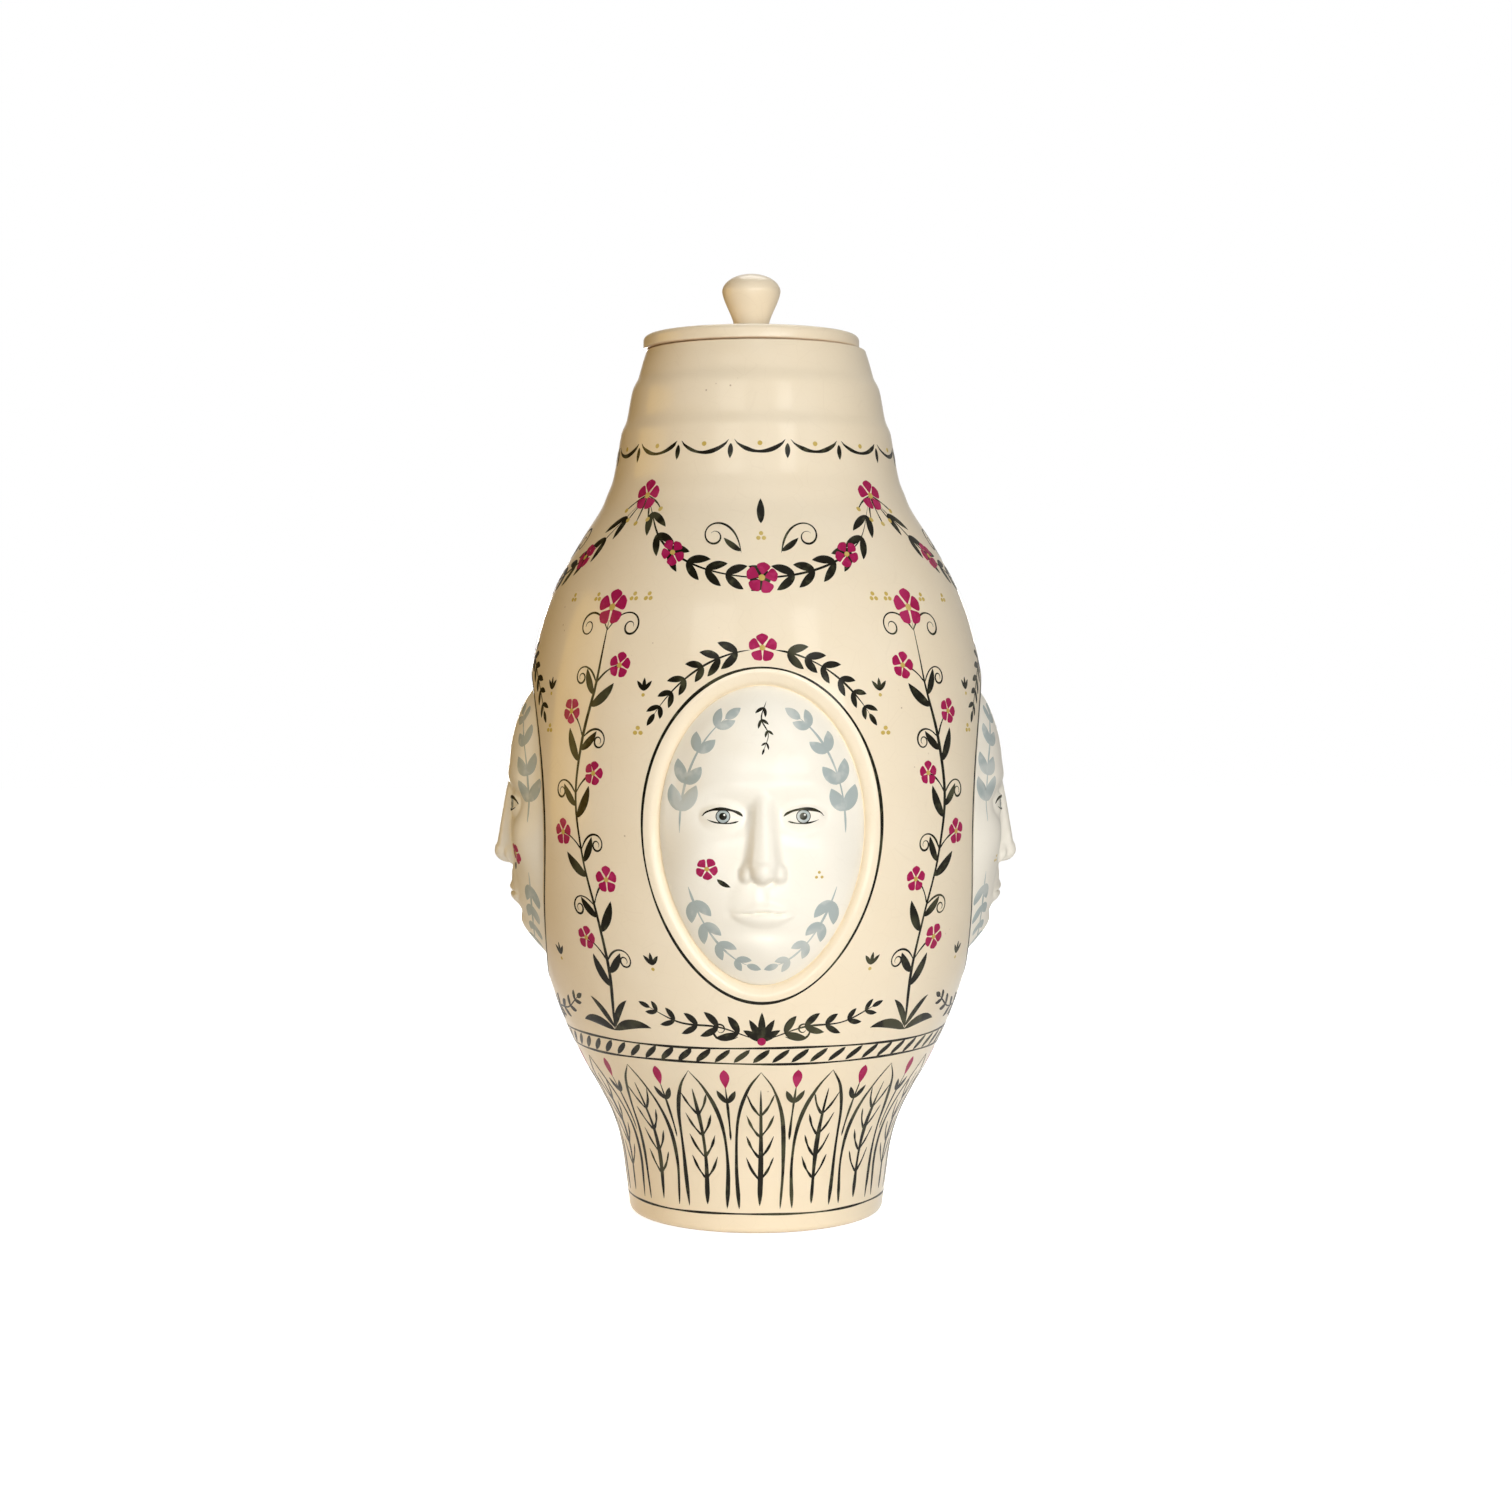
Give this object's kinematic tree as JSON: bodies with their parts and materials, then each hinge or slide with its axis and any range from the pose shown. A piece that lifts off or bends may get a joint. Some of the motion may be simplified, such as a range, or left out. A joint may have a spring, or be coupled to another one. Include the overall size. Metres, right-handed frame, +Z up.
{
  "type": "covered jar",
  "caption": "Tall glazed pottery jar with a wide belly, a ribbed neck, a loose flat lid with a knob, and relief face masks set in oval windows round its sides.",
  "frame": {"origin": "on the jar's axis, at the flat ring under its foot", "axes": "+Z up along the jar's axis; -Y out through the middle of the front mask, +X out through the right one"},
  "size_m": [0.3352, 0.3352, 0.6],
  "materials": {
    "jar_glaze": "glossy cream glaze with warm ochre shading and a faint craze",
    "mask_glaze": "glossy ivory glaze",
    "black_paint": "hand-painted black line under clear glaze",
    "magenta_paint": "hand-painted magenta under clear glaze",
    "ochre_paint": "hand-painted ochre under clear glaze",
    "grey_blue_paint": "hand-painted grey-blue wash under clear glaze"
  },
  "bodies": {
    "jar": {"jar_foot": "jar_glaze", "jar_belly": "jar_glaze", "jar_neck": "jar_glaze", "face_mask_front": "mask_glaze", "face_mask_right": "mask_glaze", "face_mask_back": "mask_glaze", "face_mask_left": "mask_glaze"},
    "lid": {"lid_disc": "jar_glaze", "lid_ring": "jar_glaze", "lid_knob": "jar_glaze"}
  },
  "joints": [
    {"name": "lid_lift", "type": "slide", "parent": "jar", "child": "lid", "axis": [0, 0, 1], "range_m": [0, 0.12]}
  ]
}
